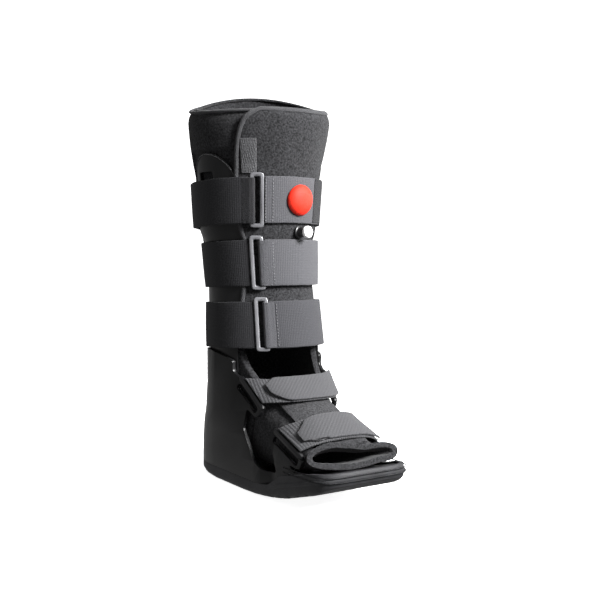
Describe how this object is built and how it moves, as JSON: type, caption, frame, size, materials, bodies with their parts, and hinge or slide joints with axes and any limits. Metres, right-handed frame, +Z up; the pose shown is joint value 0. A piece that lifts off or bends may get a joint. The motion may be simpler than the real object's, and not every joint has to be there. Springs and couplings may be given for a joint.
{
  "type": "medical walking boot",
  "caption": "Tall walking boot with a rigid slotted foot shell on a rocker sole, two side struts, a padded open-toe liner and wide ring-fastened straps.",
  "frame": {"origin": "centre of the flat middle of the sole's underside, on the floor", "axes": "+Z up the leg, toes towards -Y, heel towards +Y, +X towards the wearer's left"},
  "size_m": [0.1597, 0.2888, 0.4406],
  "materials": {
    "sole_rubber": "matt moulded",
    "shell_plastic": "fine moulded texture",
    "strut_plastic": "fine moulded texture",
    "liner_foam": "brushed loop knit over foam",
    "binding_tape": "sewn stretch tape",
    "hook_tape": "hook tape",
    "strap_web": "woven webbing",
    "tab_web": "fine woven tape with rounded corners",
    "ring_plastic": "satin moulded",
    "pump_rubber": "satin moulded",
    "valve_black": "moulded",
    "valve_white": "gloss moulded"
  },
  "bodies": {
    "boot": {"outsole": "sole_rubber", "foot_shell": "shell_plastic", "upright_left": "strut_plastic", "upright_right": "strut_plastic", "leg_liner": "liner_foam", "liner_flap": "liner_foam", "flap_binding": "binding_tape", "hook_strip": "hook_tape", "heel_liner": "liner_foam", "foot_liner": "liner_foam", "foot_flap": "liner_foam", "leg_strap_1": "strap_web", "leg_chafe_1": "strap_web", "leg_ring_1": "ring_plastic", "leg_strap_2": "strap_web", "leg_chafe_2": "strap_web", "leg_ring_2": "ring_plastic", "leg_strap_3": "strap_web", "leg_chafe_3": "strap_web", "leg_ring_3": "ring_plastic", "foot_strap_1": "strap_web", "foot_tab_1": "tab_web", "foot_strap_2": "strap_web", "foot_tab_2": "tab_web", "pump_bulb": "pump_rubber", "valve_stem": "valve_black"},
    "valve_button": {"valve_button": "valve_white"}
  },
  "joints": [
    {"name": "button_press", "type": "slide", "parent": "boot", "child": "valve_button", "axis": [-0.1908, 0.9816, 0], "range_m": [0, 0.002], "stiffness_N_per_m": 300}
  ]
}
